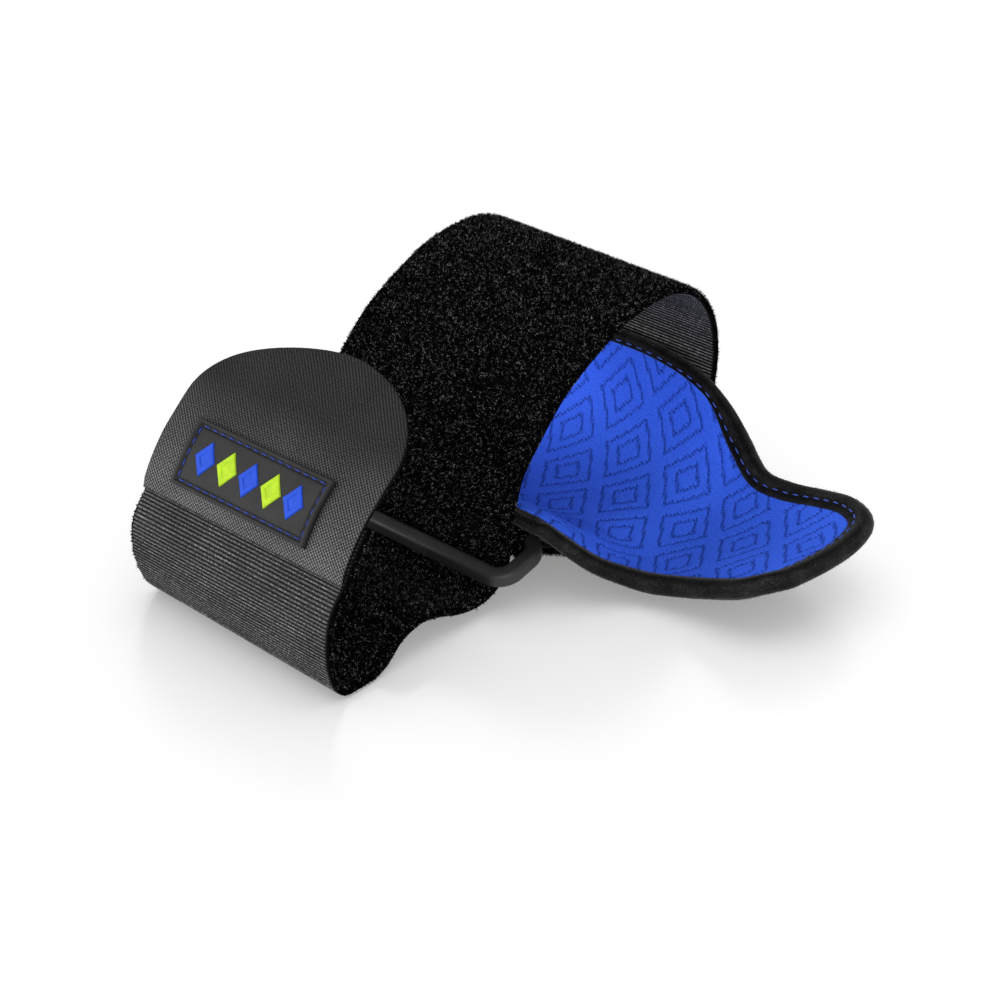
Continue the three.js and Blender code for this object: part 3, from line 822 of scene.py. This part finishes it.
def tab_piece(weave):
    """The woven tab: a checker of yarn crowns, thinned and sealed along its edge."""
    end = TAB.straight + TAB.round
    along = np.arange(0, end - TAB.end_from, TAB.weave_s / TAB.fine)
    along = np.append(along, end - np.array(TAB.end_rows))
    step = TAB.weave_x / TAB.fine
    count = int(STRAP.half / step)
    across = np.concatenate([[-STRAP.half], np.arange(-count, count + 1) * step, [STRAP.half]])
    half = tab_half_width(along)[:, None]
    x = np.clip(across, -half, half)
    inside = np.minimum((half - np.abs(x)) * np.minimum(half / TAB.taper, 1), along[:, None])
    turn_x, turn_s = TURN * x / TAB.weave_x, TURN * along[:, None] / TAB.weave_s
    # The yarn crowns shape the weave's relief, and the same values give the painted highlight on the crowns
    crown = 0.5 + 0.5 * (TAB.twill * np.cos(turn_x + turn_s) + (1 - TAB.twill) * np.cos(turn_x - turn_s))
    firm = np.clip(inside / TAB.edge_reach, 0, 1)
    out = TAB.thick / 2 * (TAB.edge_share + (1 - TAB.edge_share) * firm)
    sewn = TAB.sewn_drop * (1 - smooth_step(along[:, None], 0, TAB.sewn_reach))
    upper = tab_point(x, along[:, None], out - sewn + TAB.relief * (2 * crown - 1) * firm)
    edge = np.clip(1 - inside / TAB.seal_reach, 0, 1)
    flat = np.stack(np.broadcast_arrays(x, along[:, None]), -1)
    coarse, faces, under = closed_sheet(*x.shape, TAB.coarse, TAB.coarse)
    lower = tab_point(x[coarse], along[coarse[0]], -out[coarse])
    attributes = {
        "flat": joined(flat, flat[coarse], 2),
        "crown": joined(crown, np.full_like(x[coarse], TAB.back_crown), 1),
        "edge": joined(edge, edge[coarse], 1),
    }
    piece = add_piece("tab_weave", joined(upper, lower, 3), faces + under, [weave], attributes)
    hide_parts("hook_tab")
    return piece


# One hook from its root to its tip: along, up and radius
HOOK_SHAPE = [(0, 0, 0.2), (0, 0.5, 0.15), (0.08, 0.78, 0.14), (0.3, 0.9, 0.13), (0.5, 0.72, 0.1)]


def hook_piece(nylon):
    """Rows of small hooks on the back of the tab, past the strap's end."""
    rng = np.random.default_rng(SEED.hooks)
    half = STRAP.half
    places = []
    for i, s in enumerate(np.arange(HOOK.start, TAB.straight + TAB.round - HOOK.margin, HOOK.step_s)):
        for x in np.arange(-half, half, HOOK.step_x):
            if abs(x) < tab_half_width(s + HOOK.margin) - HOOK.margin:
                places.append((x, s, (i % 2) * 2 - 1))
    x, s, turn = np.array(places).T
    x = x + rng.uniform(-HOOK.shift, HOOK.shift, len(x))
    origins = tab_point(x, s, np.full(len(x), HOOK.root - TAB.thick / 2))
    ahead, left = tab_line.directions(s)
    along, up, radius = np.array(HOOK_SHAPE).T
    rod = bent_rod(np.stack([along, up], 1), radius, HOOK.sides)
    return copies("tab_hooks", rod, origins, ahead * turn[:, None], -left, nylon)


# From the label's edge inwards: depth and height
LABEL_PROFILE = [
    (0.0, 0.9), (0.1, 1.35), (0.3, 1.5), (0.8, 1.5), (1.0, 1.38), (1.1, 0.7), (1.25, 0.6), (1.8, 0.6),
    (1.95, 0.7), (2.1, 1.02), (2.4, 1.08),
]


def label_point(across, along, out):
    seat = TAB.thick / 2
    return tab_line.point(LABEL.offset + across, LABEL.start + along, seat + np.asarray(out))


def label_piece(rubber):
    """A rubber patch: a raised rim, a sewn groove inside it and a bare field."""
    depth, height = np.array(LABEL_PROFILE).T

    def lines(size):
        fill = np.arange(depth[-1], size - depth[-1], LABEL.step)[1:]
        return np.concatenate([depth, fill, size - depth[::-1]])

    across, along = lines(LABEL.length), lines(LABEL.height)
    inside_x = np.minimum(across, LABEL.length - across)
    inside_s = np.minimum(along, LABEL.height - along)[:, None]
    out = np.interp(np.minimum(inside_x, inside_s), depth, height)
    x, s = np.broadcast_arrays(across - LABEL.length / 2, along[:, None])
    points = np.stack([label_point(x, s, GAP + out), label_point(x, s, 0 * out)])
    _, faces, under = closed_sheet(*x.shape)
    piece = add_piece("label_rubber", points, faces + under, [rubber])
    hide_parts("label_patch")
    return piece


# One lozenge from its foot to its sunk middle: share of its size, and height on the label
LOZENGE_LEVELS = [(1.0, 1.1), (0.95, 1.45), (0.88, 1.55), (0.56, 1.55), (0.5, 1.47), (0.44, 1.3)]


def label_motif(blue, lime):
    """A plain row of raised lozenges, each with a sunk middle, in two colours by turns."""
    points, faces, index = [], [], []
    for n in range(LOZENGE.count):
        start = len(points)
        middle = (n - (LOZENGE.count - 1) / 2) * LOZENGE.pitch
        for share, out in LOZENGE_LEVELS:
            for x, s in ((1, 0), (0, 1), (-1, 0), (0, -1)):
                across, along = share * LOZENGE.half_x * x, share * LOZENGE.half_s * s
                points.append(label_point(middle + across, LABEL.height / 2 + along, GAP + out))
        added = rod_faces(len(LOZENGE_LEVELS), 4, start)
        faces += added
        index += [n % 2] * len(added)
    return add_piece("label_motif", points, faces, [blue, lime], None, index, smooth=False)


def stitch_rod(stitch):
    """One stitch: a thread that comes up out of the cloth and goes down again."""
    steps, sides, blunt, least = 7, 6, 1.08, 0.1
    place = np.linspace(-1, 1, steps)
    rise = stitch.rise * (1 - np.abs(place) ** 3) - stitch.radius
    radius = stitch.radius * np.sqrt(np.clip(blunt - place**4, least, 1))
    return bent_rod(np.stack([place * stitch.length / 2, rise], 1), radius, sides)


def label_stitches(thread):
    """Blue dashes in the label's groove, along all four sides."""
    size_x, size_s = LABEL.length / 2 - LABEL_STITCH.inset, LABEL.height / 2 - LABEL_STITCH.inset
    origins, along, up = [], [], []
    for axis, reach, offset in ((0, size_x, size_s), (1, size_s, size_x)):
        count = round(2 * reach / LABEL_STITCH.pitch)
        for side in (-1, 1):
            for k in range(count):
                run = -reach + 2 * reach * (k + 0.5) / count
                x, s = (run, side * offset) if axis == 0 else (side * offset, run)
                s += LABEL.height / 2
                origins.append(label_point(x, s, GAP + LABEL_STITCH.level))
                ahead, left = tab_line.directions(LABEL.start + s)
                along.append((1.0, 0.0, 0.0) if axis == 0 else ahead)
                up.append(left)
    origins, along, up = (np.array(part) for part in (origins, along, up))
    return copies("label_stitches", stitch_rod(LABEL_STITCH), origins, along, up, thread)


# Pad and binding

def left_x(x):
    return -np.where(x > WING.left_from, WING.left_from + (x - WING.left_from) * WING.left_reach, x)


def flat_outline(steps):
    """The pad's outline laid flat, from the left tip along the front to the right tip and back."""
    front_x, front_u, back_x, back_u = np.array(PAD_OUTLINE, float).T
    x = [left_x(front_x)[::-1], front_x[1:], back_x[-2::-1], left_x(back_x)[1:-1]]
    u = [front_u[::-1], front_u[1:], back_u[-2::-1], back_u[1:-1]]
    return smooth_line(np.stack([np.concatenate(x), np.concatenate(u)], 1), steps, closed=True)


def inset_outline(outline, inset):
    ahead = unit(np.roll(outline, -1, axis=0) - np.roll(outline, 1, axis=0))
    return outline + inset * np.stack([-ahead[:, 1], ahead[:, 0]], 1)


def wing_rise(points):
    """How far the wings stand above points of the liner: sunk beside the strap, lifted to their tips."""
    x, y, z = points[..., 0], points[..., 1], points[..., 2]
    tip = PAD_OUTLINE[-1][0]
    reach = np.abs(x) + np.maximum(-x - WING.left_from, 0) * (1 / WING.left_reach - 1)
    to_back = smooth_step(y, WING.front_y, WING.back_y)
    free = WING.front_sag + (WING.back_sag - WING.front_sag) * to_back
    room = z - WING.rest
    sag = free * room / np.cbrt(free**3 + room**3)
    past = np.maximum(reach - WING.rise_from, 0) / (tip - WING.rise_from)
    lift = np.where(x > 0, WING.rise_right, WING.rise_left) * past ** WING.power
    (front_y, front_z), (back_y, back_z) = WING_SLOPE.front, WING_SLOPE.back
    down = np.clip((back_y - y) / (back_y - front_y), 0, 1)
    slope = back_z + (front_z - back_z) * down ** WING_SLOPE.power
    inside = WING_SLOPE.inside_share
    share = inside * smooth_step(reach, *WING_SLOPE.inside)
    share = share + (1 - inside) * smooth_step(reach, *WING_SLOPE.beside)
    straighten = np.where((down > 0) & (down < 1), slope - z, 0) * share
    dip = smooth_step(reach, *WING_DIP.from_x) * (1 - smooth_step(reach, *WING_DIP.to_x))
    dip = WING_DIP.depth * dip * (1 - smooth_step(y, *WING_DIP.from_y))
    return lift + straighten - dip - sag * smooth_step(reach, WING.sag_from, WING.sag_to)


def on_liner(flat):
    x, u = flat[..., 0], np.clip(flat[..., 1], 0, liner_line.length)
    points = liner_line.point(x, u, 0 * u)
    points[..., 2] += wing_rise(points)
    return points


def liner_up(flat):
    """The direction out of the pad towards the wrist."""
    reach = 0.5
    step_x, step_u = np.array([reach, 0]), np.array([0, reach])
    along_x = on_liner(flat + step_x) - on_liner(flat - step_x)
    along_u = on_liner(flat + step_u) - on_liner(flat - step_u)
    return unit(np.cross(along_x, along_u))


def knit_lines(flat):
    """From 0 to 1, how near a place is to the sunk lines of the nested lozenges."""
    x, u = flat[..., 0] / KNIT.half_x, (flat[..., 1] - KNIT.middle_u) / KNIT.half_u
    first, second = (x + u) / 2, (x - u) / 2
    ring = np.maximum(np.abs(first - np.round(first)), np.abs(second - np.round(second)))
    away = np.minimum(np.abs(ring - KNIT.outer), np.abs(ring - KNIT.inner)) * KNIT_SPAN
    return np.exp(-((away / KNIT.groove) ** 2))


def pad_piece(knit, backing):
    """The knit-covered foam: full in its field, pressed thinner at its sewn edge, with sunk knit lines."""
    outline = flat_outline(PAD.steps)
    inset = (2 * binding_share(outline)[:, None] - 1) * BINDING.wide / 2 - BINDING.tuck
    edge = inset_outline(outline, inset)
    half = len(edge) // 2
    front, back = edge[1:half], edge[:half:-1]
    share = np.linspace(0, 1, PAD.columns + 1)[:, None]
    flat = front[:, None] * (1 - share) + back[:, None] * share
    span = np.linalg.norm(back - front, axis=1)[:, None]
    inside = np.minimum(share[:, 0], 1 - share[:, 0]) * span
    x = flat[..., 0]
    inside = np.minimum(inside, np.minimum(x.max() - x, x - x.min()))
    full = np.clip(inside / PAD.full_from, 0, 1) ** PAD.full_power
    out = PAD.thick / 2 * (PAD.edge_share + (1 - PAD.edge_share) * full)
    groove = PAD.groove * knit_lines(flat) * np.clip(inside / PAD.groove_from, 0, 1)
    middle, up = on_liner(flat), liner_up(flat)
    upper = middle + up * (out - groove + PAD.proud)[..., None]
    coarse, faces, under = closed_sheet(*x.shape, PAD.coarse_rows, PAD.coarse_columns)
    points = joined(upper, (middle - up * out[..., None])[coarse], 3)
    attributes = {"flat": joined(flat, flat[coarse], 2)}
    index = np.repeat([0, 1], [len(faces), len(under)])
    piece = add_piece("pad_body", points, faces + under, [knit, backing], attributes, index)
    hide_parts("pad")
    return piece


def binding_frames(outline):
    """Centre, ahead, across and up along the outline on the liner, and the roll's share of its size."""
    share = binding_share(outline)
    centre = on_liner(inset_outline(outline, -(1 - share[:, None]) * BINDING.wide / 2))
    up = liner_up(outline)
    ahead = unit(np.roll(centre, -1, axis=0) - np.roll(centre, 1, axis=0))
    return centre, ahead, unit(np.cross(ahead, up)), up, share


def binding_section(turn):
    """The rolled edge's section: across and up for a turn round it, with a crease where it is sewn."""
    size = squared(turn, BINDING.square)
    across, up = BINDING.wide / 2 * size * np.cos(turn), BINDING.high / 2 * size * np.sin(turn)
    from_crease = (across - BINDING_STITCH.side) / BINDING.crease_reach
    return across, up - np.sign(up) * BINDING.crease * np.exp(-(from_crease**2))


def binding_share(outline):
    """The rolled edge is narrower at the back of the loop and beside the strap than round the wings."""
    x, u = np.abs(outline[:, 0]), outline[:, 1]
    at_back = smooth_step(u, *BINDING.back_u) * (1 - smooth_step(x, *BINDING.back_x))
    at_front = (1 - smooth_step(u, *BINDING.front_u)) * (1 - smooth_step(x, *BINDING.front_x))
    return 1 - (1 - BINDING.back_share) * at_back - (1 - BINDING.front_share) * at_front


def binding_piece(cloth):
    """The black rolled edge all round the pad."""
    rng = np.random.default_rng(SEED.swell)
    outline = flat_outline(BINDING.steps)
    centre, _, across, up, share = binding_frames(outline)
    total = len(centre)
    even = np.ones(BINDING.swell_run) / BINDING.swell_run
    swell = np.convolve(np.tile(rng.normal(0, 1, total), 3), even, "same")[total:2 * total]
    turn = TURN * (np.arange(BINDING.sides) + 0.5) / BINDING.sides
    wide, high = binding_section(turn)
    scale = (share * (1 + BINDING.swell * swell))[:, None, None]
    points = centre[:, None] + scale * (wide[:, None] * across[:, None] + high[:, None] * up[:, None])
    # The turn round the roll, which the binding's colour uses for its painted highlight and shade bands
    attributes = {"turn": np.tile((turn / TURN + 0.25) % 1, total)}
    faces = loop_faces(total, BINDING.sides)
    piece = add_piece("binding_roll", points, faces, [cloth], attributes)
    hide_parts("pad_binding")
    return piece


def binding_nap(fibre):
    """Short nap over the rolled edge."""
    rng = np.random.default_rng(SEED.nap)
    frames = binding_frames(flat_outline(BINDING.steps))
    pick = rng.integers(0, len(frames[0]), NAP.count)
    centre, ahead, across, up, share = (part[pick] for part in frames)
    turn = rng.uniform(0, TURN, NAP.count)
    wide, high = np.array(binding_section(turn)) * share
    slide = rng.uniform(-NAP.slide, NAP.slide, NAP.count)[:, None]
    roots = centre + wide[:, None] * across + high[:, None] * up + slide * ahead
    out = np.cos(turn)[:, None] * across + np.sin(turn)[:, None] * up
    lean = rng.normal(0, NAP.lean, (NAP.count, 2))
    length = np.clip(rng.normal(NAP.length, NAP.vary, NAP.count), *NAP.lengths)
    axes = (out, ahead, np.cross(out, ahead))
    shade = rng.uniform(0, NAP.shade, NAP.count)
    return spikes("binding_nap", roots, axes, lean, length, NAP.radius, shade, rng, fibre)


def binding_stitches(thread):
    """Blue dashes along the rolled edge, on both faces of the pad."""
    stitch = BINDING_STITCH
    outline = flat_outline(BINDING.steps)
    centre, ahead, across, up, share = binding_frames(outline)
    run = np.cumsum(np.linalg.norm(np.roll(centre, -1, axis=0) - centre, axis=1))
    run = np.concatenate([[0], run])
    places = np.arange(0, run[-1], run[-1] / round(run[-1] / stitch.pitch))
    in_front = 1 - smooth_step(outline[:, 1], *stitch.front_u)
    in_front = in_front * (1 - smooth_step(np.abs(outline[:, 0]), *stitch.front_x))
    above = stitch.side + (stitch.front_side - stitch.side) * in_front

    def read(columns):
        closed = np.vstack([columns, columns[:1]])
        return np.stack([np.interp(places, run, column) for column in closed.T], 1)

    parts = (centre, ahead, across, up, share[:, None], above[:, None])
    centre, ahead, across, up, share, above = (read(part) for part in parts)
    origins = []
    for side, place in ((1, above), (-1, np.full_like(above, stitch.under_side))):
        bulge = (1 - np.abs(2 * place / BINDING.wide) ** BINDING.square) ** (1 / BINDING.square)
        level = BINDING.high / 2 * bulge - stitch.sunk
        origins.append(centre + share * (place * across + side * level * up))
    origins, along, up = (np.concatenate(pair) for pair in (origins, (ahead, ahead), (up, -up)))
    return copies("binding_stitches", stitch_rod(stitch), origins, along, up, thread)


# Stage

def add_floor():
    size = 4.0
    corners = [(-size, -size, 0), (size, -size, 0), (size, size, 0), (-size, size, 0)]
    mesh = bpy.data.meshes.new("floor")
    mesh.from_pydata(corners, [], [(0, 1, 2, 3)])
    mesh.materials.append(floor_finish())
    floor = bpy.data.objects.new("floor", mesh)
    bpy.context.scene.collection.objects.link(floor)
    return floor


def add_camera():
    heading, pitch, roll = (math.radians(turn) for turn in (CAMERA.heading, CAMERA.pitch, CAMERA.roll))
    camera = bpy.data.objects.new("camera", bpy.data.cameras.new("camera"))
    camera.data.lens, camera.data.sensor_width, camera.data.clip_start = CAMERA.lens, CAMERA.sensor, 0.01
    place = Matrix.Translation(Vector((np.array(CAMERA.place) + SHIFT) * MM))
    aimed = Matrix.Rotation(heading, 4, "Z") @ Matrix.Rotation(math.pi / 2 - pitch, 4, "X")
    camera.matrix_world = place @ aimed @ Matrix.Rotation(-roll, 4, "Z")
    bpy.context.scene.collection.objects.link(camera)
    bpy.context.scene.camera = camera


def add_light(name, place, size, power, link, floor):
    """A soft box that faces the middle of the brace, and leaves out the floor or lights it alone."""
    light = bpy.data.lights.new(name, "AREA")
    light.size, light.energy = size, power
    lamp = bpy.data.objects.new(name, light)
    lamp.location = place
    lamp.rotation_mode = "QUATERNION"
    lamp.rotation_quaternion = (Vector(LIT_MIDDLE) - Vector(place)).to_track_quat("-Z", "Y")
    bpy.context.scene.collection.objects.link(lamp)
    receivers = bpy.data.collections.new(name + "_receivers")
    receivers.objects.link(floor)
    receivers.collection_objects[0].light_linking.link_state = link
    lamp.light_linking.receiver_collection = receivers


def add_studio(floor):
    """A white studio, dimmer overhead, with a low key from the front left and a fill from the right."""
    scene = bpy.context.scene
    scene.view_settings.view_transform = "Standard"
    world = bpy.data.worlds.new("studio")
    scene.world = world
    world.use_nodes = True
    nodes, links = world.node_tree.nodes, world.node_tree.links
    direction = nodes.new("ShaderNodeTexCoord").outputs["Generated"]
    parts = nodes.new("ShaderNodeSeparateXYZ")
    links.new(direction, parts.inputs[0])
    fade = nodes.new("ShaderNodeMapRange")
    links.new(parts.outputs["Z"], fade.inputs["Value"])
    fade.inputs["To Min"].default_value, fade.inputs["To Max"].default_value = SKY.horizon, SKY.overhead
    background = nodes["Background"]
    background.inputs["Color"].default_value = (1, 1, 1, 1)
    links.new(fade.outputs["Result"], background.inputs["Strength"])
    for row in LIGHTS:
        add_light(*row, floor)


def build():
    fibre = fibre_finish()
    strap = strap_piece(elastic_finish(), pile_base_finish())
    pile = pile_pieces(fibre)
    ring = ring_piece(plastic_finish())
    thread = thread_finish("blue_thread", (0.02, 0.05, 0.32), (0.09, 0.17, 0.66))
    label_thread = thread_finish("label_thread", (0.01, 0.025, 0.2), (0.03, 0.07, 0.42))
    tab = tab_piece(tab_finish())
    hooks = hook_piece(hook_finish())
    label_piece(rubber_finish())
    blue = motif_finish("motif_blue", (0.015, 0.067, 0.53))
    lime = motif_finish("motif_lime", (0.38, 0.58, 0.018))
    label_motif(blue, lime)
    label_stitches(label_thread)
    pad = pad_piece(knit_finish(), backing_finish())
    binding = binding_piece(binding_finish())
    binding_nap(fibre)
    binding_stitches(thread)


build()
add_camera()
add_studio(add_floor())

bpy.context.view_layer.update()
